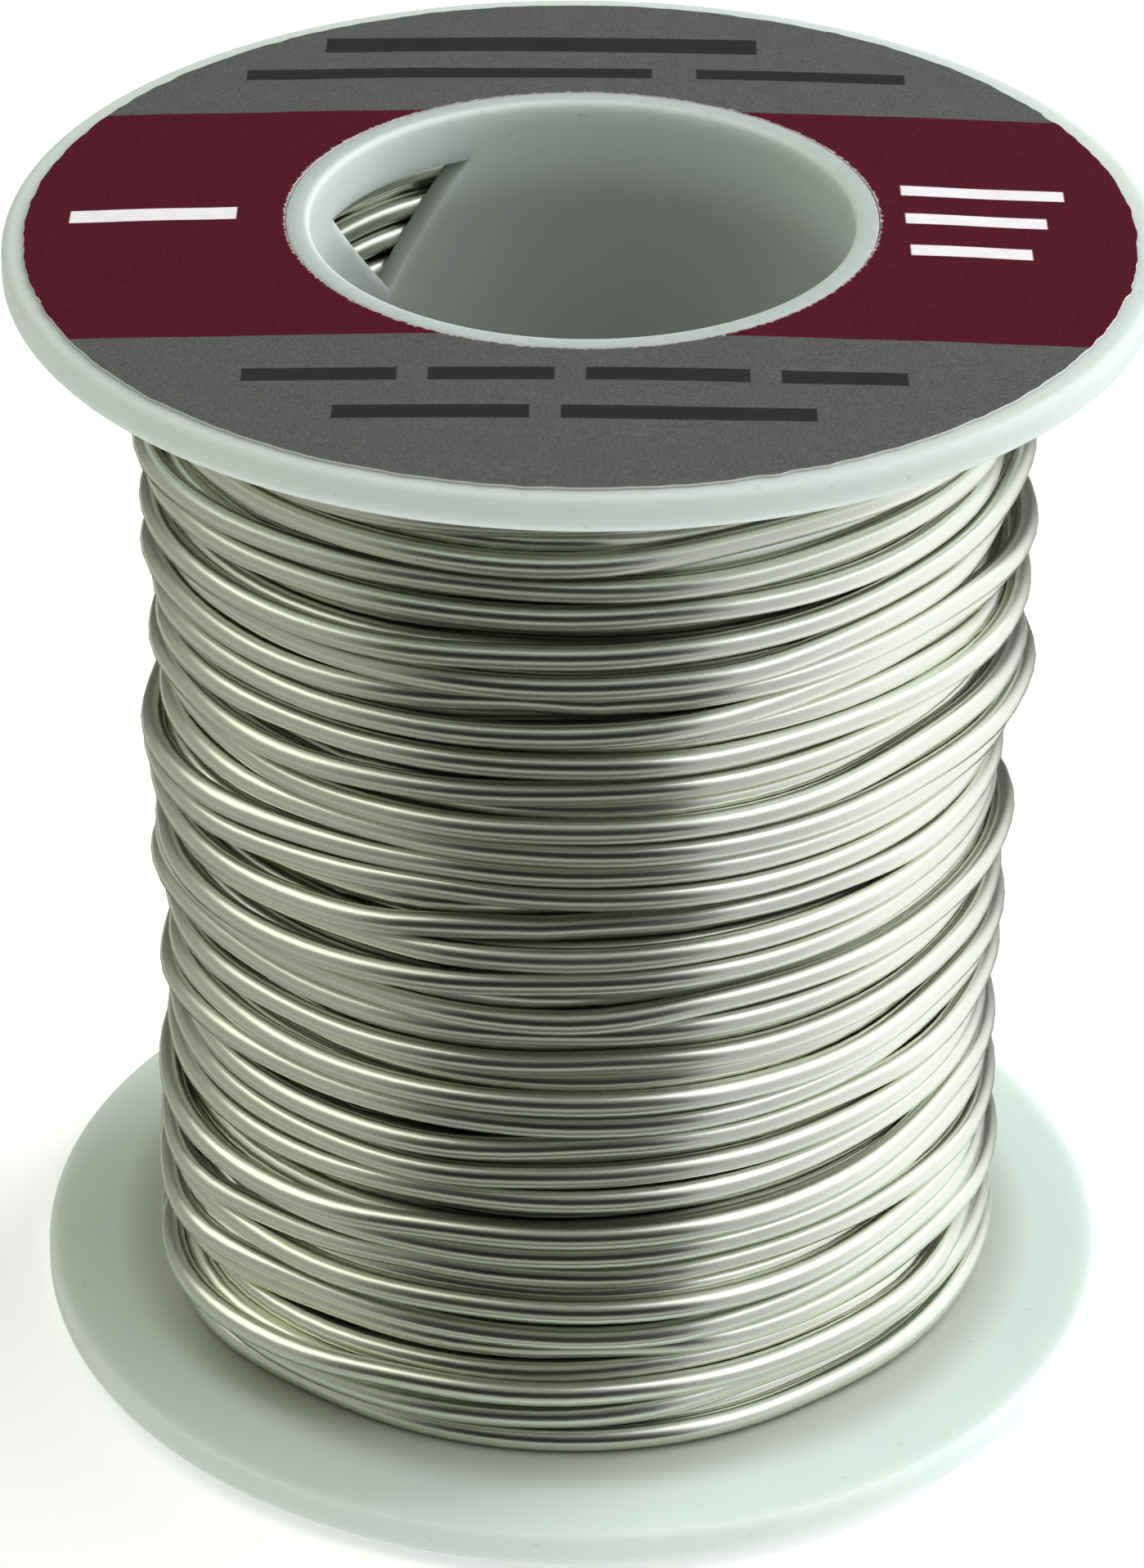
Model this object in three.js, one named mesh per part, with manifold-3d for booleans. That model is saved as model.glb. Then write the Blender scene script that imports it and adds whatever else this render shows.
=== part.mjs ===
// A solder wire spool: a moulded plastic spool with a printed paper label, wound full of wire.
//
// Millimetres, +Z up. The origin is the centre of the spool's lowest face, on its axis.
// Everything is round about Z except the small triangular window that anchors the wire's start.
import * as THREE from "three";
import { mergeVertices } from "three/addons/utils/BufferGeometryUtils.js";
import Module from "manifold-3d";

// ---- driving dimensions ----
const SPOOL_HEIGHT = 60; // over the two ends of the barrel
const FLANGE_RADIUS = 27.5;
const FLANGE_EDGE_THICKNESS = 1.65; // at the rim
const FLANGE_DISH = 0.75; // how far the rim's outer face lies inside the barrel's end
const RIM_ROUNDING = 0.45;
const BORE_RADIUS = 12.95;
const BARREL_WALL = 1.1;
const BORE_LEAD_IN = 0.3; // chamfer at each mouth of the bore

const LABEL_OUTER_RADIUS = 26.3;
const LABEL_THICKNESS = 0.12;
const LABEL_HOLE_CLEARANCE = 0.12; // between the barrel's end and the label's hole

const WINDOW_BEARING = 47; // degrees from +Y towards -X, to the window's middle
const WINDOW_WIDTH = 9.6;
const WINDOW_HEIGHT = 5.8;
const WINDOW_DROP = 0.2; // from the upper flange's inner face down to the window's top edge

const WINDING_OUTER_RADIUS = 21.8;

const MOULDED_GAP = 0.05; // between a flange and the barrel it is moulded to
const LABEL_GAP = 0.03; // glue line under the label
const WINDING_GAP = 0.3; // between the winding and the plastic round it

const ROUND_SEGMENTS = 96;
const ROUNDING_STEPS = 4;

// ---- worked-out dimensions ----
const BARREL_RADIUS = BORE_RADIUS + BARREL_WALL;
const FLANGE_HOLE_RADIUS = BARREL_RADIUS + MOULDED_GAP;
const FLANGE_FACE_HEIGHT = FLANGE_DISH + FLANGE_EDGE_THICKNESS; // the inner face, above the spool's end
const FLANGE_HUB_DROP = LABEL_THICKNESS + LABEL_GAP; // keeps the label level with the barrel's end
const LABEL_HOLE_RADIUS = BARREL_RADIUS + LABEL_HOLE_CLEARANCE;
const WINDING_INNER_RADIUS = BARREL_RADIUS + WINDING_GAP;
const WINDING_BOTTOM = FLANGE_FACE_HEIGHT + WINDING_GAP;
const WINDING_TOP = SPOOL_HEIGHT - WINDING_BOTTOM;
const WINDOW_TOP = SPOOL_HEIGHT - FLANGE_FACE_HEIGHT - WINDOW_DROP;

const wasm = await Module();
wasm.setup();

const spoolPlastic = new THREE.MeshStandardMaterial({
  color: 0xd3dad2,
  roughness: 0.42,
  metalness: 0,
});
const labelPaper = new THREE.MeshStandardMaterial({
  color: 0x6c6b6c,
  roughness: 0.7,
  metalness: 0,
});
const solderMetal = new THREE.MeshStandardMaterial({
  color: 0xb9bab0,
  roughness: 0.3,
  metalness: 1,
});

function namedMesh(name, geometry, material) {
  const mesh = new THREE.Mesh(geometry, material);
  mesh.name = name;
  return mesh;
}

// A closed profile of [radius, height] points, listed anticlockwise, turned about Z.
function turned(profile) {
  const outline = [...profile, profile[0]].map(([r, z]) => new THREE.Vector2(r, z));
  return new THREE.LatheGeometry(outline, ROUND_SEGMENTS).rotateX(Math.PI / 2);
}

// Points of a rounded corner about a centre, from one angle to another in degrees.
function roundedCorner(centreRadius, centreHeight, radius, fromAngle, toAngle) {
  const points = [];
  for (let i = 0; i <= ROUNDING_STEPS; i++) {
    const angle = THREE.MathUtils.degToRad(fromAngle + ((toAngle - fromAngle) * i) / ROUNDING_STEPS);
    points.push([
      centreRadius + radius * Math.cos(angle),
      centreHeight + radius * Math.sin(angle),
    ]);
  }
  return points;
}

// How far the flange's outer face lies inside the barrel's end at a radius: it is a shallow cone.
function dishDepth(radius) {
  const share = (radius - FLANGE_HOLE_RADIUS) / (FLANGE_RADIUS - FLANGE_HOLE_RADIUS);
  return FLANGE_HUB_DROP + (FLANGE_DISH - FLANGE_HUB_DROP) * share;
}

// ---- the flanges ----
// The upper flange: flat towards the wire, a shallow cone outside, rounded at the rim.
function upperFlangeProfile() {
  const innerFace = SPOOL_HEIGHT - FLANGE_FACE_HEIGHT;
  const cornerRadius = FLANGE_RADIUS - RIM_ROUNDING;
  return [
    [FLANGE_HOLE_RADIUS, innerFace],
    ...roundedCorner(cornerRadius, innerFace + RIM_ROUNDING, RIM_ROUNDING, -90, 0),
    ...roundedCorner(cornerRadius, SPOOL_HEIGHT - FLANGE_DISH - RIM_ROUNDING, RIM_ROUNDING, 0, 90),
    [FLANGE_HOLE_RADIUS, SPOOL_HEIGHT - FLANGE_HUB_DROP],
  ];
}

// The same profile turned over for the other end, and listed backwards so it still faces out.
function mirrored(profile) {
  return profile.map(([r, z]) => [r, SPOOL_HEIGHT - z]).reverse();
}

// ---- the barrel ----
function barrelProfile() {
  const leadInRadius = BORE_RADIUS + BORE_LEAD_IN;
  return [
    [BORE_RADIUS, BORE_LEAD_IN],
    [leadInRadius, 0],
    [BARREL_RADIUS, 0],
    [BARREL_RADIUS, SPOOL_HEIGHT],
    [leadInRadius, SPOOL_HEIGHT],
    [BORE_RADIUS, SPOOL_HEIGHT - BORE_LEAD_IN],
  ];
}

// A geometry as a manifold solid, with its shared vertices merged.
function solidOf(geometry) {
  const bare = geometry.clone();
  bare.deleteAttribute("normal");
  bare.deleteAttribute("uv");
  const merged = mergeVertices(bare, 1e-4);
  return new wasm.Manifold(
    new wasm.Mesh({
      numProp: 3,
      vertProperties: new Float32Array(merged.attributes.position.array),
      triVerts: new Uint32Array(merged.index.array),
    }),
  );
}

function geometryOf(solid) {
  const mesh = solid.getMesh();
  const geometry = new THREE.BufferGeometry();
  geometry.setAttribute("position", new THREE.BufferAttribute(mesh.vertProperties, 3));
  geometry.setIndex(new THREE.BufferAttribute(mesh.triVerts, 1));
  geometry.computeVertexNormals();
  return geometry;
}

// The cutter for the anchor window: a triangle with its point down, pushed out through one wall.
function windowCutter() {
  const triangle = new THREE.Shape([
    new THREE.Vector2(0, WINDOW_TOP - WINDOW_HEIGHT),
    new THREE.Vector2(WINDOW_WIDTH / 2, WINDOW_TOP),
    new THREE.Vector2(-WINDOW_WIDTH / 2, WINDOW_TOP),
  ]);
  const bearing = THREE.MathUtils.degToRad(WINDOW_BEARING);
  const start = BORE_RADIUS / 2; // from the axis, inside the bore
  const cutter = new THREE.ExtrudeGeometry(triangle, { depth: BARREL_RADIUS, bevelEnabled: false });
  cutter.rotateX(Math.PI / 2); // the triangle's height now runs along Z, and the push along -Y
  cutter.rotateZ(Math.PI + bearing);
  return cutter.translate(-Math.sin(bearing) * start, Math.cos(bearing) * start, 0);
}

function barrelGeometry() {
  return geometryOf(solidOf(turned(barrelProfile())).subtract(solidOf(windowCutter())));
}

// ---- the label ----
// A paper ring glued to the upper flange, lying on its shallow cone.
function labelProfile() {
  const lower = (radius) => SPOOL_HEIGHT - dishDepth(radius) + LABEL_GAP;
  return [
    [LABEL_HOLE_RADIUS, lower(LABEL_HOLE_RADIUS)],
    [LABEL_OUTER_RADIUS, lower(LABEL_OUTER_RADIUS)],
    [LABEL_OUTER_RADIUS, lower(LABEL_OUTER_RADIUS) + LABEL_THICKNESS],
    [LABEL_HOLE_RADIUS, lower(LABEL_HOLE_RADIUS) + LABEL_THICKNESS],
  ];
}

// ---- the wire ----
// The outer shape of all the turns of wire, which fill the spool between its flanges.
function windingProfile() {
  return [
    [WINDING_INNER_RADIUS, WINDING_BOTTOM],
    [WINDING_OUTER_RADIUS, WINDING_BOTTOM],
    [WINDING_OUTER_RADIUS, WINDING_TOP],
    [WINDING_INNER_RADIUS, WINDING_TOP],
  ];
}

const spool = new THREE.Group();
spool.add(
  namedMesh("upper_flange", turned(upperFlangeProfile()), spoolPlastic),
  namedMesh("lower_flange", turned(mirrored(upperFlangeProfile())), spoolPlastic),
  namedMesh("barrel", barrelGeometry(), spoolPlastic),
  namedMesh("top_label", turned(labelProfile()), labelPaper),
  namedMesh("wire_winding", turned(windingProfile()), solderMetal),
);

export default spool;
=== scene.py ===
"""The looks of a solder wire spool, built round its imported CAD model.

Lengths are metres and the frame is the CAD's: +Z up, the origin at the centre of the lowest face.
A bearing is an angle round the spool: 0 faces the camera (-Y), and +90 degrees is +X.
"""

import math

import bmesh
import bpy
import numpy as np
from mathutils import Euler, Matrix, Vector


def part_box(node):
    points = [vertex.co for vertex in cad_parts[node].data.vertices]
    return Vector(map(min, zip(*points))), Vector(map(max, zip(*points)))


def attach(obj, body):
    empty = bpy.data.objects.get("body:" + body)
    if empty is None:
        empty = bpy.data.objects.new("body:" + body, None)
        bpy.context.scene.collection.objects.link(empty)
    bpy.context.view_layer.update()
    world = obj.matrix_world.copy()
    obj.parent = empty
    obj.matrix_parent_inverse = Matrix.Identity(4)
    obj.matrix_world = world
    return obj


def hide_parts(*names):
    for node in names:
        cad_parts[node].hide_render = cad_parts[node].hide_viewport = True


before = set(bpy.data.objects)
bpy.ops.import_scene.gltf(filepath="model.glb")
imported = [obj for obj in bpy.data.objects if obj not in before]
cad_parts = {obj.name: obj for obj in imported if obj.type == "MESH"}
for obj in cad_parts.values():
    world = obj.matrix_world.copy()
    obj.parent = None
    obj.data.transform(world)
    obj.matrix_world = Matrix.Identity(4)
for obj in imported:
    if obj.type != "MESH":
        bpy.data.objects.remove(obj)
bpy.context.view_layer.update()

MM = 0.001
SEED = 258
WHITE = (1.0, 1.0, 1.0)

# ---- sizes taken from the CAD model ----


def barrel_radii():
    """The barrel's inner and outer radius."""
    radii = [math.hypot(v.co.x, v.co.y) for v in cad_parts["barrel"].data.vertices]
    return min(radii), max(radii)


BORE_RADIUS, BARREL_RADIUS = barrel_radii()
SPOOL_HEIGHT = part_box("barrel")[1].z
FLANGE_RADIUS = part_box("upper_flange")[1].x
FLANGE_HUB_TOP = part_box("upper_flange")[1].z
FLANGE_RIM_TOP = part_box("top_label")[0].z  # level with the label's edge
UPPER_INNER_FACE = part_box("upper_flange")[0].z
LOWER_INNER_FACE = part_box("lower_flange")[1].z
LABEL_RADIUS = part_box("top_label")[1].x
COIL_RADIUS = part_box("wire_winding")[1].x

# ---- the camera ----
CAMERA_DISTANCE = 285.1 * MM  # from the point on the axis that it orbits
CAMERA_ORBIT_HEIGHT = 32.65 * MM
CAMERA_ELEVATION = 0.52758  # radians, as are the next three
CAMERA_PITCH = 0.53992
CAMERA_YAW = 0.00122
CAMERA_ROLL = 0.00762
CAMERA_CLIP_START = 10 * MM
SENSOR_WIDTH = 36.0
FOCAL_LENGTH = 180.09

# ---- the spool ----
ROUND_SEGMENTS = 240
ARC_STEPS = 8
FACE_RINGS = 12  # points across a flange's face
WALL_RINGS = 40  # points along the barrel's wall
RIM_ROUNDING = 0.5 * MM
LEAD_IN = 0.35 * MM
CORNER_SOFTENING = 0.12 * MM
CORNER_STEPS = 4
PLASTIC_CREASE = 30  # degrees: edges sharper than this stay sharp
WINDOW_BEARING = math.radians(47)  # from +Y towards -X
WINDOW_WIDTH = 9.6 * MM
WINDOW_HEIGHT = 5.8 * MM
WINDOW_DROP = 0.2 * MM  # below the upper flange's inner face
WINDOW_SOFTENING = 0.1 * MM
WINDOW_CREASE = 35  # degrees: the window's edges are sharper than this
WINDOW_MARGIN = 0.5 * MM  # below its point, where its edges are looked for
CUTTER_REACH = 3 * MM  # how far the window's cutter stands out of the barrel
WELD_DISTANCE = 0.001 * MM

# ---- the label ----
LABEL_HOLE_RADIUS = BARREL_RADIUS + 0.03 * MM
LABEL_LIFT = 0.01 * MM  # off the flange
LABEL_THICKNESS = 0.12 * MM
LABEL_SHIFT = (-0.1 * MM, -0.3 * MM)  # how far its edge is off centre
LABEL_SWELL = 0.02 * MM
SWELL_ROUND = 5  # swellings on the way round
SWELL_ACROSS = 9  # radians of swelling from the hole to the edge
LABEL_SEGMENTS = 540
LABEL_RINGS = 12
LABEL_CREASE = 40  # degrees
HOLE_TEETH = 0.07 * MM
EDGE_TEETH = 0.05 * MM
BAND_LOW = -12.65 * MM
BAND_HIGH = 11.9 * MM
PRINT_BLUR = 0.05 * MM
# bars where wording would be: (left, right, middle height, thickness) in millimetres
DARK_BARS = (
    (-13.0, 8.7, 20.5, 1.9),
    (-16.8, 3.4, 16.7, 1.3),
    (5.6, 16.0, 16.7, 1.3),
    (-15.3, -8.3, -16.4, 1.2),
    (-6.9, -1.2, -16.4, 1.2),
    (0.2, 7.6, -16.4, 1.2),
    (9.0, 14.7, -16.4, 1.2),
    (-11.1, -2.3, -19.9, 1.2),
    (-0.9, 10.5, -19.9, 1.2),
)
PALE_BARS = (
    (-24.3, -16.4, 0.1, 1.3),
    (15.2, 23.0, 3.1, 1.1),
    (15.3, 22.0, 0.0, 1.1),
    (15.4, 21.1, -3.4, 1.1),
)

# ---- the solder's look: noise scales per metre, two across the wire and one along it ----
SOLDER_WARM = (0.785, 0.805, 0.685)
SOLDER_COOL = (0.86, 0.885, 0.81)
SOLDER_STREAK = (0.97, 0.97, 0.965)  # times the colour, in the darkest streaks
SOLDER_ROUGHNESS = (0.23, 0.3)
SOLDER_BUMP = (0.05, 0.02 * MM)  # strength and depth
STREAK_GRAIN = (4200, 4200, 40)
STREAK_DEPTH = 0.1  # as a share of a nick's
NICK_GRAIN = (1500, 1500, 1100)
NICK_LEVELS = (0.76, 0.84)  # of the noise, where a nick starts and is full
TARNISH_GRAIN = (500, 500, 16)

# ---- the plastic's look: noise scales per metre ----
PLASTIC_COOL = (0.67, 0.76, 0.745)
PLASTIC_WARM = (0.74, 0.80, 0.715)
PLASTIC_ROUGHNESS = (0.34, 0.44)
PLASTIC_BUMP = (0.06, 0.05 * MM)
CLOUD_GRAIN = 90
GLOSS_GRAIN = 700
SKIN_GRAIN = 2500
SPECK_GRAIN = 2200
SPECK_LEVELS = (0.83, 0.86)
SPECK_COLOUR = (0.30, 0.30, 0.26)
SPECK_SHARE = 0.2
# painted shade on the plastic, each as a share of its own colour
BORE_PAINTED_SHADE = (0.67, 0.645, 0.645)  # painted shade: the barrel and its bore darker below the top, where the wire lies behind the wall
BORE_SHADE_REACH = 2 * MM  # outside the barrel
BORE_SHADE_TOP = (58.4 * MM, 54 * MM)  # heights where it starts and is full
COIL_PAINTED_SHADOW = (0.76, 0.73, 0.68)  # painted shadow on the flanges round the winding
COIL_SHADOW_REACH = 2.5 * MM  # outside the winding
COIL_SHADOW_START = MM  # outside the label's hole
# painted shade: the upper flange darker than the lower one
UPPER_PAINTED_SHADE = (0.84, 0.84, 0.84)
# painted shade: the upper flange darker still towards its hub
HUB_PAINTED_SHADE = (0.78, 0.79, 0.81)

# ---- the label's look: noise scales per metre ----
GREY_DARK = (0.070, 0.073, 0.068)
GREY_LIGHT = (0.114, 0.119, 0.110)
GREY_LEVELS = (0.32, 0.68)
RED_DARK = (0.060, 0.003, 0.010)
RED_LIGHT = (0.094, 0.006, 0.019)
BAR_DARK = (0.022, 0.022, 0.022)
BAR_PALE = (0.80, 0.76, 0.78)
PAPER = (0.74, 0.72, 0.70)
PAPER_ROUGHNESS = (0.6, 0.75)
PAPER_BUMP = (0.15, 0.03 * MM)
PAPER_GRAIN = 7500
MOTTLE_GRAIN = 900
MOTTLE_DARK = (0.88, 0.88, 0.88)
MOTTLE_LIGHT = (1.08, 1.08, 1.08)
WORN_PRINT = (0.48, 0.36, 0.38)
WORN_WIDTH = (0.34 * MM, 0.2 * MM)  # from the hole, where the wear starts and is full
WEAR_GRAIN = 3500
WEAR_WAVER = 0.4 * MM
FACE_UP = (0.5, 0.9)  # the normal's upward part, from the paper's cut edge to its printed face

NOISE_SPREAD = (0.3, 0.7)  # most of a noise's values lie between these

# ---- the light tent: strengths, and where each part of it starts and is full ----
TENT_FRONT = 0.01
TENT_RIGHT = 0.54
TENT_RIGHT_FAR = 1.12
TENT_RIGHT_EDGE = (0.52, 0.68)  # radians round from the front, as are the other walls'
TENT_RIGHT_RISE = (0.8, 1.7)
TENT_RIGHT_END = (2.1, 2.7)
TENT_LEFT = 0.35
TENT_LEFT_EDGE = (-0.55, -1.05)
TENT_LEFT_END = (-2.1, -2.7)
TENT_BACK = 0.1
TENT_BACK_EDGE = (2.1, 2.7)
TENT_ROOF = 0.28
TENT_ROOF_EDGE = (0.55, 0.95)  # the sine of the height, as are the floor's
TENT_FLOOR = 0.48
TENT_FLOOR_EDGE = (-0.1, -0.28)
TENT_FLOOR_END = (-0.42, -0.6)
TENT_FLOOR_REST = 0.2  # the share of it left straight below
LEFT_PANEL = (-0.55, 0.1, 0.83)  # the direction of its middle
LEFT_PANEL_EDGE = (0.82, 0.96)  # the cosine of the angle from its middle
LEFT_PANEL_STRENGTH = 1.5
RIGHT_PANEL_STRENGTH = 1.75
RIGHT_PANEL_FRONT = (0.62, 0.76)  # radians round from the front
RIGHT_PANEL_FAR = (2.1, 2.8)
RIGHT_PANEL_LOW = (0.3, 0.62)  # the sine of the height
RIGHT_PANEL_HIGH = (0.96, 1.0)
TENT_RIGHT_TINT = (0.99, 1.0, 1.02)
TENT_LEFT_TINT = (0.985, 1.0, 0.865)
TENT_TINT_EDGE = (0.3, 0.7)  # radians round from the front
# name, place, size, power and colour of the lamps that light the plastic and paper only
SOFTBOXES = (
    ("top_softbox", (0.05, -0.15, 0.58), (0.5, 0.4), 0.34, WHITE),
    ("front_softbox", (0.45, -0.36, 0.3), (0.5, 0.3), 0.03, WHITE),
    ("right_softbox", (0.43, 0.24, 0.34), (0.3, 0.3), 2.3, (0.95, 1.0, 1.08)),
)

# ---- the floor ----
FLOOR_SIZE = 6.0
FLOOR_DROP = 0.05 * MM  # under the spool
FLOOR_GLOW = 0.33
FLOOR_GRAIN = 40
FLOOR_DARK = (0.95, 0.95, 0.95)
FLOOR_LIGHT = (0.97, 0.97, 0.97)

# ---- the wire ----
WIRE_DIAMETER = 1.2 * MM
WIRE_LENGTH = 23.4
WIRE_END_BEARING = 180  # degrees, as are the crossings': the wire's end lies round the back
LOWEST_TURN = LOWER_INNER_FACE + WIRE_DIAMETER / 2
HIGHEST_TURN = UPPER_INNER_FACE - WIRE_DIAMETER / 2
TURN_STEPS = 360  # the winding is worked out once for each degree of a turn
MOST_TURNS = 260  # more than the wire's length makes
TRAVERSE_PITCH = 1.54 * MM  # how far the guide moves along the spool in a turn
GUIDE_OVERRUN = 0.4 * MM  # how far it goes past the last place for a turn at each flange
UNEVENNESS = 0.33 * MM  # how far it strays from its even travel
UNEVEN_STEPS = 120  # from one stray to the next
GUIDE_PULL = 0.07  # share of the guide's lead that the wire makes up in one step
GROOVE_PULL = 0.015 * MM  # how far a slope of 1 moves the wire sideways in one step
SLOPE_REACH = 0.06 * MM  # on either side of the wire, where it feels the slope
WIRE_STIFFNESS = 8  # steps over which the wire turns
MAX_DRIFT = 0.16 * MM  # the most that the wire moves sideways in a step
CROSSING_BEARINGS = (72, 288)
CROSSING_WIDTH = 38  # degrees on either side in which most of a crossing lies
CELL = 0.05 * MM  # spacing of the grid of heights along the spool
BATCH = 60  # steps laid at once, with a look ahead for the taut string
LOOK_AHEAD = 30
CHORD_STEPS = (1, 2, 3, 4, 6, 8, 11, 14, 18, 22)  # half the steps under each chord of the string
TAUT_ROUNDS = 6
BEND_WIDTH = 5  # steps on either side over which the wire rounds off a bend
WIRE_SIDES = 10
WIRE_CREASE = 60  # degrees
# the steps between the rings of points on the wire, and how many of its turns have them
FIRST_TURNS = 5  # they show through the barrel's window
FIRST_RING_STEP = 4
INNER_RING_STEP = 18
MIDDLE_TURNS = 82  # counted in from the last one, so with the outer ones
MIDDLE_RING_STEP = 5
OUTER_TURNS = 38
OUTER_RING_STEP = 4
WIRE_PLACE = "place_on_wire"


def slow_noise(rng, steps, spacing):
    """Random values that change smoothly, with a new one at each spacing."""
    knots = rng.normal(size=steps // spacing + 2)
    place = np.arange(steps) / spacing
    index = place.astype(int)
    blend = 0.5 - 0.5 * np.cos(math.pi * (place - index))
    return knots[index] * (1 - blend) + knots[index + 1] * blend


def guide_heights(rng, steps):
    """Where the wire is led at each step: to and fro between the flanges, starting at the top."""
    span = HIGHEST_TURN - LOWEST_TURN + 2 * GUIDE_OVERRUN
    travel = GUIDE_OVERRUN + np.arange(steps) * TRAVERSE_PITCH / TURN_STEPS
    folded = np.abs(travel % (2 * span) - span)
    strays = UNEVENNESS * slow_noise(rng, steps, UNEVEN_STEPS)
    return LOWEST_TURN - GUIDE_OVERRUN + folded + strays


def crossing_share():
    """For each degree of bearing, how free the wire is to leave its groove.

    Turns lie in the grooves between those under them along the front and the back, and cross over
    to the next groove at the two sides.
    """
    bearings = np.arange(TURN_STEPS)
    share = np.zeros(TURN_STEPS)
    for middle in CROSSING_BEARINGS:
        off = (bearings - middle + 180) % 360 - 180
        share += np.exp(-((off / CROSSING_WIDTH) ** 2))
    return share


def smoothed(curve, width):
    """The curve, with each value replaced by the mean of those within the width on either side."""
    padded = np.pad(curve, width, mode="edge")
    sums = np.concatenate([[0], np.cumsum(padded)])
    window = 2 * width + 1
    return (sums[window:] - sums[:-window]) / window


def pull_taut(radii, first_free):
    """Lifts the wire, from its first free step, off the hollows that a taut wire would bridge."""
    for _ in range(TAUT_ROUNDS):
        for k in CHORD_STEPS:
            left, right = radii[: -2 * k], radii[2 * k :]
            chord = 2 * left * right * math.cos(math.radians(k)) / (left + right)
            free = np.arange(k, len(radii) - k) >= first_free
            middle = radii[k:-k]
            middle[free] = np.maximum(middle[free], chord[free])


class Ground:
    """How far from the axis the next turn's centre would have to lie, by bearing and height."""

    def __init__(self):
        cells = int(round((UPPER_INNER_FACE - LOWER_INNER_FACE) / CELL)) + 1
        self.heights = LOWER_INNER_FACE + CELL * np.arange(cells)
        self.radii = np.full((TURN_STEPS, cells), BARREL_RADIUS + WIRE_DIAMETER / 2)

    def radius_at(self, bearing, height):
        place = (height - LOWER_INNER_FACE) / CELL
        cell = int(place)
        share = place - cell
        return self.radii[bearing, cell] * (1 - share) + self.radii[bearing, cell + 1] * share

    def slope_at(self, bearing, height):
        above = min(height + SLOPE_REACH, HIGHEST_TURN)
        below = max(height - SLOPE_REACH, LOWEST_TURN)
        return (self.radius_at(bearing, above) - self.radius_at(bearing, below)) / (above - below)

    def cover(self, bearing, radius, height):
        """Raises the ground round a turn: the next one's centre stays a diameter from its own."""
        cell = int(round((height - LOWER_INNER_FACE) / CELL))
        reach = int(WIRE_DIAMETER / CELL)
        near = slice(max(0, cell - reach), cell + reach + 1)
        rise = WIRE_DIAMETER**2 - (self.heights[near] - height) ** 2
        row = self.radii[bearing, near]
        np.maximum(row, np.where(rise > 0, radius + np.sqrt(np.maximum(rise, 0)), 0), out=row)


def steps_ahead(ground, guide, freedom, start, height, drift):
    """The next steps of the wire over the ground as it is: their heights, drifts and radii.

    The wire follows the guide, slides into the grooves between the turns under it, and leaves its
    groove at the two sides.
    """
    ahead = np.empty((BATCH + LOOK_AHEAD, 3))
    for j in range(len(ahead)):
        bearing = (start + j) % TURN_STEPS
        share = freedom[bearing]
        lead = guide[start + j] - height
        slope = ground.slope_at(bearing, height)
        wanted = share * GUIDE_PULL * lead - (1 - share) * GROOVE_PULL * slope
        wanted = min(max(wanted, -MAX_DRIFT), MAX_DRIFT)
        drift += (wanted - drift) / WIRE_STIFFNESS
        height += drift
        if not LOWEST_TURN <= height <= HIGHEST_TURN:
            height, drift = min(max(height, LOWEST_TURN), HIGHEST_TURN), 0.0
        ahead[j] = height, drift, ground.radius_at(bearing, height)
    return ahead.T


def wind_wire():
    """The wire's centreline as it is wound: (bearing, radius, height) at each step.

    It is laid in batches. Each is worked out some way past its end, then pulled taut together with
    the wire just before it.
    """
    guide = guide_heights(np.random.default_rng(SEED), MOST_TURNS * TURN_STEPS)
    freedom = crossing_share()
    ground = Ground()
    heights, radii = np.empty(len(guide)), np.empty(len(guide))
    height, drift, length, done = HIGHEST_TURN, 0.0, 0.0, 0
    while length < WIRE_LENGTH or done % TURN_STEPS != WIRE_END_BEARING:
        ahead_heights, drifts, ahead_radii = steps_ahead(ground, guide, freedom, done, height, drift)
        height, drift = ahead_heights[BATCH - 1], drifts[BATCH - 1]
        settled = min(done, LOOK_AHEAD)
        stretch = np.concatenate([radii[done - settled : done], ahead_radii])
        pull_taut(stretch, settled)
        batch = slice(done, done + BATCH)
        heights[batch] = ahead_heights[:BATCH]
        radii[batch] = stretch[settled : settled + BATCH]
        for i in range(done, done + BATCH):
            ground.cover(i % TURN_STEPS, radii[i], heights[i])
        length += float(radii[batch].sum()) * 2 * math.pi / TURN_STEPS
        done += BATCH
    radii = smoothed(smoothed(radii[:done], BEND_WIDTH), BEND_WIDTH)
    return np.arange(done) * 2 * math.pi / TURN_STEPS, radii, heights[:done]


# ---- helpers for objects and meshes ----
def new_object(name, data):
    made = bpy.data.objects.new(name, data)
    bpy.context.scene.collection.objects.link(made)
    return made


def stand_in(piece, node):
    """Makes a piece ride on the spool, in the place of a CAD node."""
    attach(piece, "root")
    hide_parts(node)
    return piece


def mesh_from(name, points, faces):
    mesh = bpy.data.meshes.new(name)
    mesh.from_pydata([tuple(p) for p in points], [], faces)
    mesh.update()
    return mesh


def ring_faces(rings, count, joined=True):
    """The faces between rings of points, each a loop of this many, with the ends joined or not."""
    faces = []
    for i in range(rings if joined else rings - 1):
        here, there = i * count, (i + 1) % rings * count
        for j in range(count):
            k = (j + 1) % count
            faces.append((here + j, there + j, there + k, here + k))
    return faces


def smooth_by_angle(mesh, degrees):
    """Smooth shading, with the edges sharper than this angle kept sharp."""
    work = bmesh.new()
    work.from_mesh(mesh)
    for edge in work.edges:
        edge.smooth = edge.calc_face_angle(math.pi) < math.radians(degrees)
    for face in work.faces:
        face.smooth = True
    work.to_mesh(mesh)
    work.free()


def turned(name, profile):
    """A closed profile of (radius, height) points turned about Z."""
    points = []
    for i in range(ROUND_SEGMENTS):
        angle = 2 * math.pi * i / ROUND_SEGMENTS
        points += [(r * math.cos(angle), r * math.sin(angle), z) for r, z in profile]
    return mesh_from(name, points, ring_faces(ROUND_SEGMENTS, len(profile)))


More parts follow.
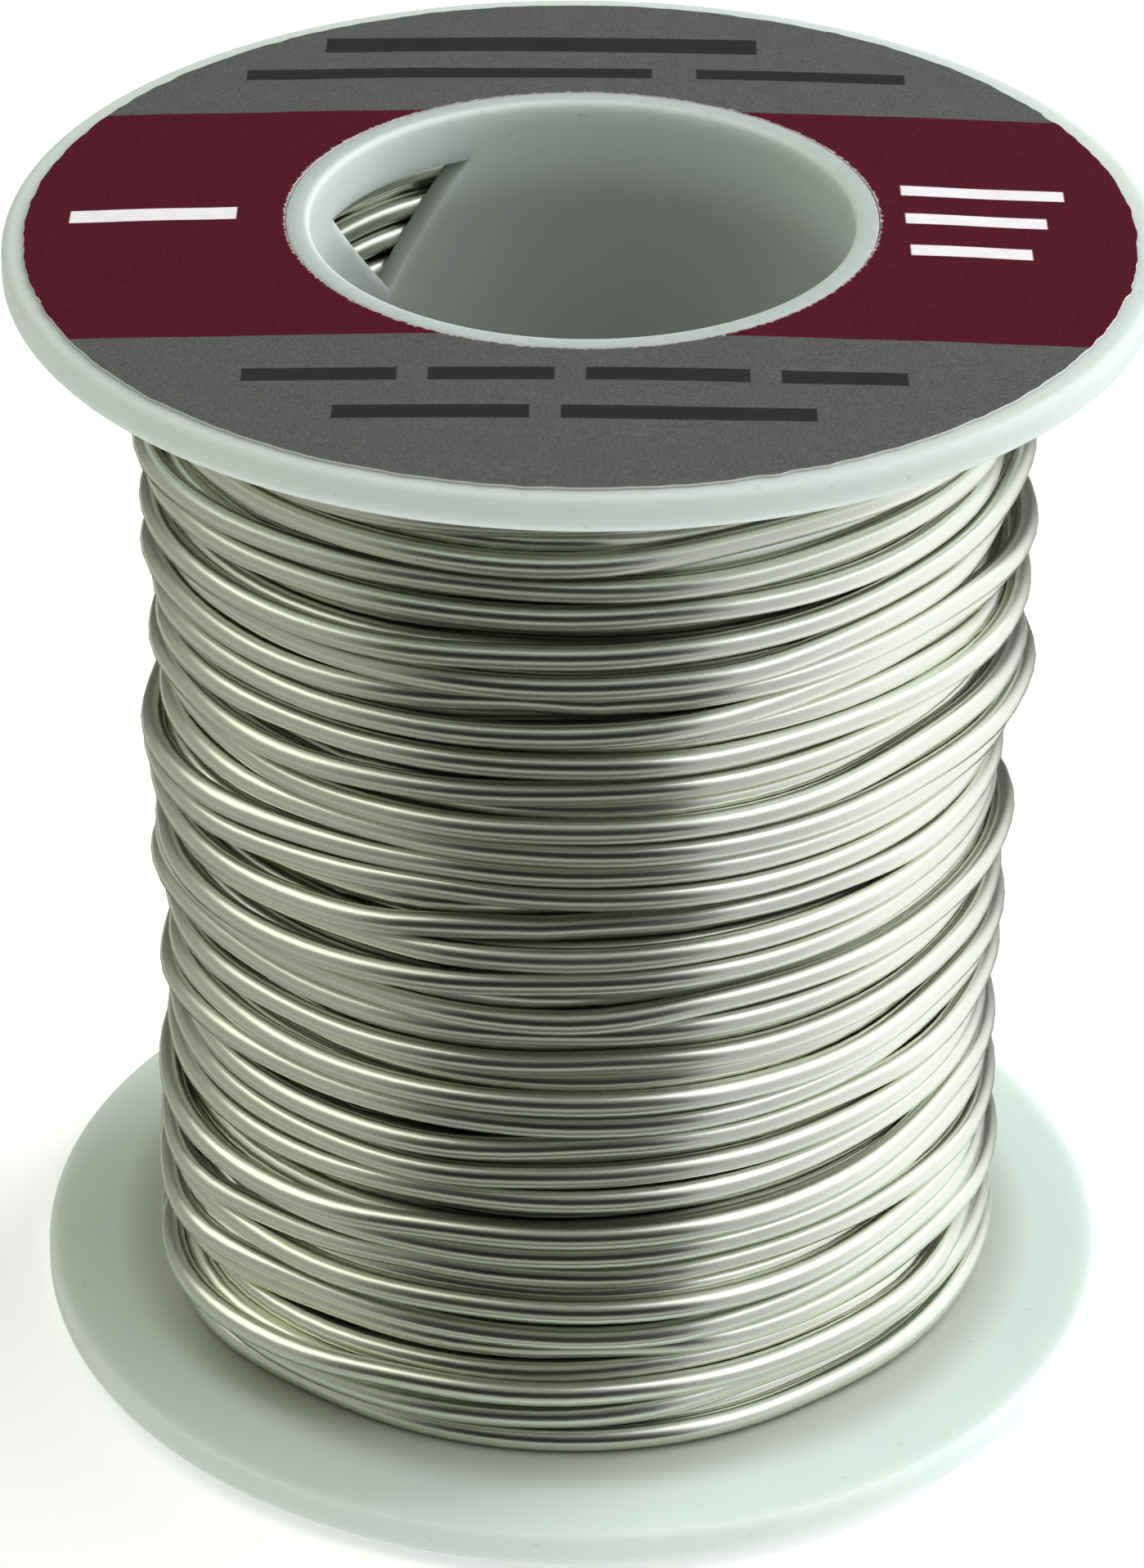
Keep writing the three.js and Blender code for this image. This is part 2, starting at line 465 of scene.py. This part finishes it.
def arc(centre_r, centre_z, radius, start, stop, steps=ARC_STEPS):
    """Profile points round a corner, from one angle to another in degrees."""
    angles = np.radians(np.linspace(start, stop, steps + 1))
    return [(centre_r + radius * math.cos(a), centre_z + radius * math.sin(a)) for a in angles]


# ---- the camera ----
def make_camera():
    data = bpy.data.cameras.new("camera")
    data.sensor_fit = "HORIZONTAL"
    data.sensor_width = SENSOR_WIDTH
    data.lens = FOCAL_LENGTH
    data.clip_start = CAMERA_CLIP_START
    camera = new_object("camera", data)
    camera.location = (
        0,
        -CAMERA_DISTANCE * math.cos(CAMERA_ELEVATION),
        CAMERA_ORBIT_HEIGHT + CAMERA_DISTANCE * math.sin(CAMERA_ELEVATION),
    )
    turn = Euler((math.pi / 2 - CAMERA_PITCH, 0, CAMERA_YAW)).to_matrix()
    roll = Euler((0, 0, CAMERA_ROLL)).to_matrix()
    camera.rotation_euler = (turn @ roll).to_euler()
    bpy.context.scene.camera = camera


# ---- the wire's tube ----
def ring_steps(steps):
    """Which of the winding's steps get a ring of points: more of them on the turns that show."""
    first = FIRST_TURNS * TURN_STEPS
    middle = steps - 1 - MIDDLE_TURNS * TURN_STEPS
    outer = steps - 1 - OUTER_TURNS * TURN_STEPS
    picks = [
        np.arange(0, first, FIRST_RING_STEP),
        np.arange(first, middle, INNER_RING_STEP),
        np.arange(middle, outer, MIDDLE_RING_STEP),
        np.arange(outer, steps - 1, OUTER_RING_STEP),
        [steps - 1],
    ]
    return np.concatenate(picks)


def remember_place(mesh, centres, x, y):
    """Stores each point's place on the wire: across it twice, and along it."""
    along = np.concatenate([[0], np.cumsum(np.linalg.norm(np.diff(centres, axis=0), axis=1))])
    place = np.empty((len(centres), WIRE_SIDES, 3), np.float32)
    place[:, :, 0] = x
    place[:, :, 1] = y
    place[:, :, 2] = along[:, None]
    attribute = mesh.attributes.new(WIRE_PLACE, "FLOAT_VECTOR", "POINT")
    attribute.data.foreach_set("vector", place.reshape(-1))


def tube_mesh(name, centres, outward, diameter):
    """A tube of rings round the centres, with closed ends."""
    tangents = np.gradient(centres, axis=0)
    tangents /= np.linalg.norm(tangents, axis=1)[:, None]
    outward = outward - (outward * tangents).sum(axis=1)[:, None] * tangents
    outward /= np.linalg.norm(outward, axis=1)[:, None]
    across = np.cross(tangents, outward)
    side = 2 * math.pi / WIRE_SIDES
    reach = diameter / 2 * math.sqrt(side / math.sin(side))  # as much metal as in a round wire
    angles = np.arange(WIRE_SIDES) * side
    x, y = np.cos(angles) * reach, np.sin(angles) * reach
    points = centres[:, None] + x[:, None] * outward[:, None] + y[:, None] * across[:, None]
    faces = [(a, d, c, b) for a, b, c, d in ring_faces(len(centres), WIRE_SIDES, joined=False)]
    end = (len(centres) - 1) * WIRE_SIDES
    faces.append(tuple(range(WIRE_SIDES - 1, -1, -1)))
    faces.append(tuple(range(end, end + WIRE_SIDES)))
    mesh = mesh_from(name, points.reshape(-1, 3), faces)
    remember_place(mesh, centres, x, y)
    return mesh


def make_wire():
    bearings, radii, heights = wind_wire()
    picks = ring_steps(len(bearings))
    bearings, radii, heights = bearings[picks], radii[picks], heights[picks]
    outward = np.stack([np.sin(bearings), -np.cos(bearings), np.zeros_like(bearings)], axis=1)
    centres = outward * radii[:, None]
    centres[:, 2] = heights
    mesh = tube_mesh("solder_wire", centres, outward, WIRE_DIAMETER)
    smooth_by_angle(mesh, WIRE_CREASE)
    wire = stand_in(new_object("solder_wire", mesh), "wire_winding")
    return wire


# ---- the spool ----
def cone_height(radius):
    """The upper flange's outer face at a radius: a shallow cone from the hub down to the rim."""
    share = (radius - BARREL_RADIUS) / (FLANGE_RADIUS - BARREL_RADIUS)
    return FLANGE_HUB_TOP + (FLANGE_RIM_TOP - FLANGE_HUB_TOP) * share


def flange_profile():
    """The upper flange, from its hub's lower edge and round the rim."""
    edge = FLANGE_RADIUS - RIM_ROUNDING
    low, high = UPPER_INNER_FACE + RIM_ROUNDING, FLANGE_RIM_TOP - RIM_ROUNDING
    across = np.linspace(BARREL_RADIUS, edge - RIM_ROUNDING, FACE_RINGS)
    flat = [(r, UPPER_INNER_FACE) for r in across]
    cone = [(r, cone_height(r)) for r in across[::-1]]
    return flat + arc(edge, low, RIM_ROUNDING, -90, 0) + arc(edge, high, RIM_ROUNDING, 0, 90) + cone


def make_flange(name, profile):
    mesh = turned(name, profile)
    smooth_by_angle(mesh, PLASTIC_CREASE)
    return stand_in(new_object(name, mesh), name)


def barrel_profile():
    """The barrel's wall, with a rounded lead-in at each mouth and softened outer corners."""
    mouth = BORE_RADIUS + LEAD_IN
    mouth_top = SPOOL_HEIGHT - LEAD_IN
    corner = BARREL_RADIUS - CORNER_SOFTENING
    corner_top = SPOOL_HEIGHT - CORNER_SOFTENING
    inside = [(BORE_RADIUS, z) for z in np.linspace(mouth_top, LEAD_IN, WALL_RINGS)]
    outside = [(BARREL_RADIUS, z) for z in np.linspace(CORNER_SOFTENING, corner_top, WALL_RINGS)]
    return (
        inside
        + arc(mouth, LEAD_IN, LEAD_IN, 180, 270)[1:]
        + arc(corner, CORNER_SOFTENING, CORNER_SOFTENING, -90, 0, CORNER_STEPS)[:-1]
        + outside
        + arc(corner, corner_top, CORNER_SOFTENING, 0, 90, CORNER_STEPS)[1:]
        + arc(mouth, mouth_top, LEAD_IN, 90, 180)[:-1]
    )


def window_cutter():
    """A wedge with its point down, which reaches out through one wall of the barrel."""
    top = UPPER_INNER_FACE - WINDOW_DROP
    outline = [(0, top - WINDOW_HEIGHT), (WINDOW_WIDTH / 2, top), (-WINDOW_WIDTH / 2, top)]
    near, far = BORE_RADIUS / 2, BARREL_RADIUS + CUTTER_REACH
    turn = Euler((0, 0, WINDOW_BEARING)).to_matrix()
    points = [turn @ Vector((x, y, z)) for y in (near, far) for x, z in outline]
    faces = [(0, 1, 2), (5, 4, 3), (0, 3, 4, 1), (1, 4, 5, 2), (2, 5, 3, 0)]
    mesh = mesh_from("window_cutter", points, faces)
    work = bmesh.new()
    work.from_mesh(mesh)
    bmesh.ops.recalc_face_normals(work, faces=work.faces)
    work.to_mesh(mesh)
    work.free()
    return new_object("window_cutter", mesh)


def soften_window(mesh):
    """Rounds the window's edges a little."""
    work = bmesh.new()
    work.from_mesh(mesh)
    bmesh.ops.remove_doubles(work, verts=work.verts, dist=WELD_DISTANCE)
    low = UPPER_INNER_FACE - WINDOW_DROP - WINDOW_HEIGHT - WINDOW_MARGIN
    high = UPPER_INNER_FACE
    crease = math.radians(WINDOW_CREASE)
    sharp = [
        edge
        for edge in work.edges
        if edge.calc_face_angle(0) > crease and all(low < v.co.z < high for v in edge.verts)
    ]
    bmesh.ops.bevel(
        work,
        geom=sharp,
        offset=WINDOW_SOFTENING,
        offset_type="OFFSET",
        segments=2,
        profile=0.5,
        affect="EDGES",
        clamp_overlap=True,
    )
    work.to_mesh(mesh)
    work.free()


def make_barrel():
    whole = new_object("barrel_whole", turned("barrel_whole", barrel_profile()))
    cutter = window_cutter()
    cut = whole.modifiers.new("window", "BOOLEAN")
    cut.operation = "DIFFERENCE"
    cut.solver = "EXACT"
    cut.object = cutter
    view = bpy.context.evaluated_depsgraph_get()
    mesh = bpy.data.meshes.new_from_object(whole.evaluated_get(view))
    mesh.name = "barrel"
    for spare in (whole, cutter):
        bpy.data.objects.remove(spare)
    soften_window(mesh)
    smooth_by_angle(mesh, PLASTIC_CREASE)
    return stand_in(new_object("barrel", mesh), "barrel")


# ---- the label ----
def ragged(rng, count, amount):
    """The small teeth of a punched paper edge, as offsets round it."""
    teeth = rng.normal(size=count)
    return amount * (np.roll(teeth, 1) + 2 * teeth + np.roll(teeth, -1)) / 4


def label_section(angle, hole, edge):
    """The label's outline at an angle: from the hole out along its underside, and back on top."""
    out = np.linspace(0, 1, LABEL_RINGS)
    points = []
    for layer, shares in ((0, out), (1, out[::-1])):
        for share in shares:
            r = hole + (edge - hole) * share
            wave = math.sin(SWELL_ROUND * angle + SWELL_ACROSS * share)
            swell = LABEL_SWELL * wave * math.sin(math.pi * share)
            z = cone_height(r) + LABEL_LIFT + layer * (LABEL_THICKNESS + swell)
            points.append((r * math.cos(angle), r * math.sin(angle), z))
    return points


def make_label():
    rng = np.random.default_rng(SEED + 1)
    angles = np.arange(LABEL_SEGMENTS) * 2 * math.pi / LABEL_SEGMENTS
    holes = LABEL_HOLE_RADIUS + np.abs(ragged(rng, LABEL_SEGMENTS, HOLE_TEETH))
    edges = LABEL_RADIUS + ragged(rng, LABEL_SEGMENTS, EDGE_TEETH)
    edges = edges + LABEL_SHIFT[0] * np.cos(angles) + LABEL_SHIFT[1] * np.sin(angles)
    points = []
    for angle, hole, edge in zip(angles, holes, edges):
        points += label_section(angle, hole, edge)
    mesh = mesh_from("top_label", points, ring_faces(LABEL_SEGMENTS, 2 * LABEL_RINGS))
    smooth_by_angle(mesh, LABEL_CREASE)
    return stand_in(new_object("top_label", mesh), "top_label")


# ---- materials ----
class Nodes:
    """The nodes of a material or world, with short ways to add and join them."""

    def __init__(self, owner, shader="Principled BSDF"):
        owner.use_nodes = True
        self.owner = owner
        self.tree = owner.node_tree
        self.shader = self.tree.nodes[shader]

    def add(self, kind, **settings):
        node = self.tree.nodes.new(kind)
        for key, value in settings.items():
            setattr(node, key, value)
        return node

    def feed(self, socket, value):
        """Sets a socket to a number or colour, or joins another socket to it."""
        if isinstance(value, bpy.types.NodeSocket):
            self.tree.links.new(value, socket)
        elif isinstance(value, tuple) and len(value) == 3 and socket.type == "RGBA":
            socket.default_value = (*value, 1)
        else:
            socket.default_value = value

    def set(self, **values):
        for name, value in values.items():
            self.feed(self.shader.inputs[name.replace("_", " ")], value)

    def math(self, operation, *values):
        node = self.add("ShaderNodeMath", operation=operation)
        for socket, value in zip(node.inputs, values):
            self.feed(socket, value)
        return node.outputs[0]

    def times(self, first, second):
        return self.math("MULTIPLY", first, second)

    def plus(self, first, second):
        return self.math("ADD", first, second)

    def most(self, *values):
        strongest = values[0]
        for value in values[1:]:
            strongest = self.math("MAXIMUM", strongest, value)
        return strongest

    def vector_math(self, operation, first, second):
        node = self.add("ShaderNodeVectorMath", operation=operation)
        self.feed(node.inputs[0], first)
        self.feed(node.inputs[1], second)
        return node.outputs

    def mix(self, share, low, high, blend="MIX"):
        node = self.add("ShaderNodeMix", data_type="RGBA", blend_type=blend)
        sockets = {s.name: s for s in node.inputs if s.enabled}
        self.feed(sockets["Factor"], share)
        self.feed(sockets["A"], low)
        self.feed(sockets["B"], high)
        return next(s for s in node.outputs if s.enabled)

    def scale_colour(self, colour, amount):
        return self.mix(1.0, colour, amount, blend="MULTIPLY")

    def ramp(self, value, from_low, from_high, to_low=0.0, to_high=1.0):
        node = self.add("ShaderNodeMapRange", interpolation_type="SMOOTHSTEP")
        for name, number in (
            ("Value", value),
            ("From Min", from_low),
            ("From Max", from_high),
            ("To Min", to_low),
            ("To Max", to_high),
        ):
            self.feed(node.inputs[name], number)
        return node.outputs["Result"]

    def noise(self, vector, scale, detail=2.0, roughness=0.5):
        node = self.add("ShaderNodeTexNoise")
        self.feed(node.inputs["Vector"], vector)
        self.feed(node.inputs["Scale"], scale)
        self.feed(node.inputs["Detail"], detail)
        self.feed(node.inputs["Roughness"], roughness)
        return node.outputs["Fac"]

    def stretched_noise(self, vector, scales, detail=2.0):
        return self.noise(self.vector_math("MULTIPLY", vector, scales)["Vector"], 1.0, detail)

    def bump(self, height, strength, distance):
        node = self.add("ShaderNodeBump")
        self.feed(node.inputs["Strength"], strength)
        self.feed(node.inputs["Distance"], distance)
        self.feed(node.inputs["Height"], height)
        self.feed(self.shader.inputs["Normal"], node.outputs["Normal"])

    def place(self):
        return self.add("ShaderNodeTexCoord").outputs["Object"]

    def split(self, vector):
        node = self.add("ShaderNodeSeparateXYZ")
        self.feed(node.inputs[0], vector)
        return node.outputs

    def radius(self, x, y):
        """The distance from the spool's axis."""
        return self.math("SQRT", self.plus(self.times(x, x), self.times(y, y)))


def solder_material():
    """Drawn tin alloy: a satin metal with fine lengthwise streaks and a faint slow tarnish."""
    m = Nodes(bpy.data.materials.new("drawn_solder"))
    wire = m.add("ShaderNodeAttribute", attribute_name=WIRE_PLACE).outputs["Vector"]
    streaks = m.stretched_noise(wire, STREAK_GRAIN)
    nicks = m.ramp(m.stretched_noise(wire, NICK_GRAIN, detail=0.0), *NICK_LEVELS)
    bright = m.mix(m.stretched_noise(wire, TARNISH_GRAIN), SOLDER_WARM, SOLDER_COOL)
    m.set(
        Base_Color=m.scale_colour(bright, m.mix(streaks, SOLDER_STREAK, WHITE)),
        Roughness=m.ramp(streaks, *NOISE_SPREAD, *SOLDER_ROUGHNESS),
        Metallic=1.0,
        Anisotropic=0.4,
        Anisotropic_Rotation=0.25,
    )
    m.bump(m.plus(m.times(streaks, STREAK_DEPTH), nicks), *SOLDER_BUMP)
    return m.owner


def plastic_material():
    """Milky translucent plastic, a little greenish, with faint specks moulded in.

    Painted shade darkens the barrel and bore below the top, the flanges round the winding, and the
    upper flange, most towards its hub.
    """
    m = Nodes(bpy.data.materials.new("milky_plastic"))
    place = m.place()
    x, y, z = m.split(place)
    radius = m.radius(x, y)
    # painted shade: the barrel and its bore darker below the top
    at_barrel = m.ramp(radius, BARREL_RADIUS + BORE_SHADE_REACH, BARREL_RADIUS)
    wound = m.times(at_barrel, m.ramp(z, *BORE_SHADE_TOP))
    # painted shadow on the flanges round the winding
    within_coil = m.ramp(radius, COIL_RADIUS + COIL_SHADOW_REACH, COIL_RADIUS)
    coil_shadow_share = m.times(within_coil, m.ramp(radius, BARREL_RADIUS, LABEL_HOLE_RADIUS + COIL_SHADOW_START))
    # painted shade: the upper flange darker than the lower one
    outside_bore = m.ramp(radius, BORE_RADIUS, BORE_RADIUS + LEAD_IN)
    upper_shade_share = m.times(m.ramp(z, UPPER_INNER_FACE - MM, UPPER_INNER_FACE), outside_bore)
    # painted shade: the upper flange darker still towards its hub
    hub = m.times(upper_shade_share, m.ramp(radius, LABEL_RADIUS, BARREL_RADIUS))
    base = m.mix(m.noise(place, CLOUD_GRAIN, detail=3.0), PLASTIC_COOL, PLASTIC_WARM)
    painted_shades = ((wound, BORE_PAINTED_SHADE), (coil_shadow_share, COIL_PAINTED_SHADOW), (upper_shade_share, UPPER_PAINTED_SHADE), (hub, HUB_PAINTED_SHADE))
    for share, shade in painted_shades:
        base = m.scale_colour(base, m.mix(share, WHITE, shade))
    specks = m.ramp(m.noise(place, SPECK_GRAIN, detail=0.0), *SPECK_LEVELS)
    m.set(
        Base_Color=m.mix(m.times(specks, SPECK_SHARE), base, SPECK_COLOUR),
        Roughness=m.ramp(m.noise(place, GLOSS_GRAIN), *NOISE_SPREAD, *PLASTIC_ROUGHNESS),
        Subsurface_Weight=0.85,
        Subsurface_Radius=(1.0, 1.0, 0.95),
        Subsurface_Scale=1.6 * MM,
        IOR=1.49,
    )
    m.bump(m.noise(place, SKIN_GRAIN), *PLASTIC_BUMP)
    return m.owner


def bars_mask(m, x, y, bars):
    """1 inside any of the bars, and 0 elsewhere."""
    masks = []
    for left, right, middle, thickness in bars:
        across = m.math("ABSOLUTE", m.math("SUBTRACT", x, (left + right) / 2 * MM))
        along = m.math("ABSOLUTE", m.math("SUBTRACT", y, middle * MM))
        half_width, half_height = (right - left) / 2 * MM, thickness / 2 * MM
        in_width = m.ramp(across, half_width + PRINT_BLUR, half_width - PRINT_BLUR)
        in_height = m.ramp(along, half_height + PRINT_BLUR, half_height - PRINT_BLUR)
        masks.append(m.times(in_width, in_height))
    return m.most(*masks)


def label_material():
    """Matt printed paper: a grey ground, a dark red band and plain bars where wording would be."""
    m = Nodes(bpy.data.materials.new("printed_paper"))
    place = m.place()
    x, y, _ = m.split(place)
    above_low = m.ramp(y, BAND_LOW - PRINT_BLUR, BAND_LOW + PRINT_BLUR)
    below_high = m.ramp(y, BAND_HIGH + PRINT_BLUR, BAND_HIGH - PRINT_BLUR)
    grain = m.noise(place, PAPER_GRAIN, detail=3.0, roughness=0.7)
    grey = m.mix(m.ramp(grain, *GREY_LEVELS), GREY_DARK, GREY_LIGHT)
    red = m.mix(m.ramp(grain, *NOISE_SPREAD), RED_DARK, RED_LIGHT)
    printed = m.mix(m.times(above_low, below_high), grey, red)
    printed = m.mix(bars_mask(m, x, y, DARK_BARS), printed, BAR_DARK)
    printed = m.mix(bars_mask(m, x, y, PALE_BARS), printed, BAR_PALE)
    mottle = m.mix(m.noise(place, MOTTLE_GRAIN), MOTTLE_DARK, MOTTLE_LIGHT)
    printed = m.scale_colour(printed, mottle)
    waver = m.times(m.noise(place, WEAR_GRAIN, detail=1.0), WEAR_WAVER)
    start, full = (LABEL_HOLE_RADIUS + width for width in WORN_WIDTH)
    worn = m.ramp(m.plus(m.radius(x, y), waver), start, full)
    printed = m.mix(worn, printed, WORN_PRINT)
    up = m.split(m.add("ShaderNodeNewGeometry").outputs["Normal"])[2]
    m.set(
        Base_Color=m.mix(m.ramp(up, *FACE_UP), PAPER, printed),
        Roughness=m.ramp(grain, *NOISE_SPREAD, *PAPER_ROUGHNESS),
        Specular_IOR_Level=0.15,
    )
    m.bump(grain, *PAPER_BUMP)
    return m.owner


def floor_material():
    m = Nodes(bpy.data.materials.new("white_card"))
    m.set(
        Base_Color=m.mix(m.noise(m.place(), FLOOR_GRAIN), FLOOR_DARK, FLOOR_LIGHT),
        Roughness=0.9,
        Specular_IOR_Level=0.1,
        Emission_Color=WHITE,
        Emission_Strength=FLOOR_GLOW,
    )
    return m.owner


def dress(piece, material):
    piece.data.materials.clear()
    piece.data.materials.append(material)


# ---- the floor, the lights and the world ----
def make_floor():
    half = FLOOR_SIZE / 2
    corners = [(-half, -half, 0), (half, -half, 0), (half, half, 0), (-half, half, 0)]
    floor = new_object("floor", mesh_from("floor", corners, [(0, 1, 2, 3)]))
    floor.location.z = -FLOOR_DROP
    dress(floor, floor_material())
    floor.visible_glossy = False


def add_softbox(name, place, size, power, colour):
    """A rectangular lamp that faces the middle of the spool, and isn't seen in shiny surfaces."""
    data = bpy.data.lights.new(name, "AREA")
    data.shape = "RECTANGLE"
    data.size, data.size_y = size
    data.energy = power
    data.color = colour
    lamp = new_object(name, data)
    lamp.location = place
    aim = Vector((0, 0, SPOOL_HEIGHT / 2)) - Vector(place)
    lamp.rotation_euler = aim.to_track_quat("-Z", "Y").to_euler()
    lamp.visible_glossy = False


def tent_walls(m, bearing):
    """The tent's two sides and its back."""
    right = m.times(m.ramp(bearing, *TENT_RIGHT_EDGE), m.ramp(bearing, *TENT_RIGHT_END, 1.0, 0.0))
    right = m.times(right, m.ramp(bearing, *TENT_RIGHT_RISE, TENT_RIGHT, TENT_RIGHT_FAR))
    left = m.ramp(bearing, *TENT_LEFT_END, TENT_LEFT, 0.0)
    left = m.times(m.ramp(bearing, *TENT_LEFT_EDGE), left)
    back = m.ramp(m.math("ABSOLUTE", bearing), *TENT_BACK_EDGE, 0.0, TENT_BACK)
    return m.plus(m.plus(right, left), back)


def tent_floor(m, height):
    """A strip of floor that shows low down, and little of it straight below."""
    strip = m.ramp(height, *TENT_FLOOR_EDGE, 0.0, TENT_FLOOR)
    return m.times(strip, m.ramp(height, *TENT_FLOOR_END, 1.0, TENT_FLOOR_REST))


def right_panel(m, bearing, height):
    """A brighter panel high in the right wall."""
    far_end = m.ramp(bearing, *RIGHT_PANEL_FAR, 1.0, 0.0)
    width = m.times(m.ramp(bearing, *RIGHT_PANEL_FRONT), far_end)
    top = m.ramp(height, *RIGHT_PANEL_HIGH, 1.0, 0.0)
    rise = m.times(m.ramp(height, *RIGHT_PANEL_LOW), top)
    return m.times(m.times(width, rise), RIGHT_PANEL_STRENGTH)


def make_world():
    """A light tent: bright to the right, paler to the left, dim behind and dark at its opening."""
    world = bpy.data.worlds.new("light_tent")
    bpy.context.scene.world = world
    m = Nodes(world, "Background")
    direction = m.add("ShaderNodeTexCoord").outputs["Generated"]
    x, y, height = m.split(direction)
    bearing = m.math("ARCTAN2", x, m.times(y, -1.0))
    toward_left = m.vector_math("DOT_PRODUCT", direction, LEFT_PANEL)["Value"]
    light = m.most(
        tent_walls(m, bearing),
        m.ramp(height, *TENT_ROOF_EDGE, 0.0, TENT_ROOF),
        tent_floor(m, height),
        m.ramp(toward_left, *LEFT_PANEL_EDGE, 0.0, LEFT_PANEL_STRENGTH),
        right_panel(m, bearing, height),
    )
    tint = m.mix(m.ramp(bearing, *TENT_TINT_EDGE), TENT_LEFT_TINT, TENT_RIGHT_TINT)
    seen = m.add("ShaderNodeLightPath").outputs["Is Camera Ray"]
    m.set(
        Strength=m.most(seen, m.plus(light, TENT_FRONT)),
        Color=m.mix(seen, tint, WHITE),
    )


make_camera()
wire = make_wire()
upper = flange_profile()
lower = [(r, SPOOL_HEIGHT - z) for r, z in reversed(upper)]
flanges = [make_flange("upper_flange", upper), make_flange("lower_flange", lower)]
barrel = make_barrel()
label = make_label()

dress(wire, solder_material())
dress(label, label_material())
plastic = plastic_material()
for piece in (*flanges, barrel):
    dress(piece, plastic)

make_floor()
make_world()
for lamp in SOFTBOXES:
    add_softbox(*lamp)
bpy.context.scene.view_settings.view_transform = "Standard"
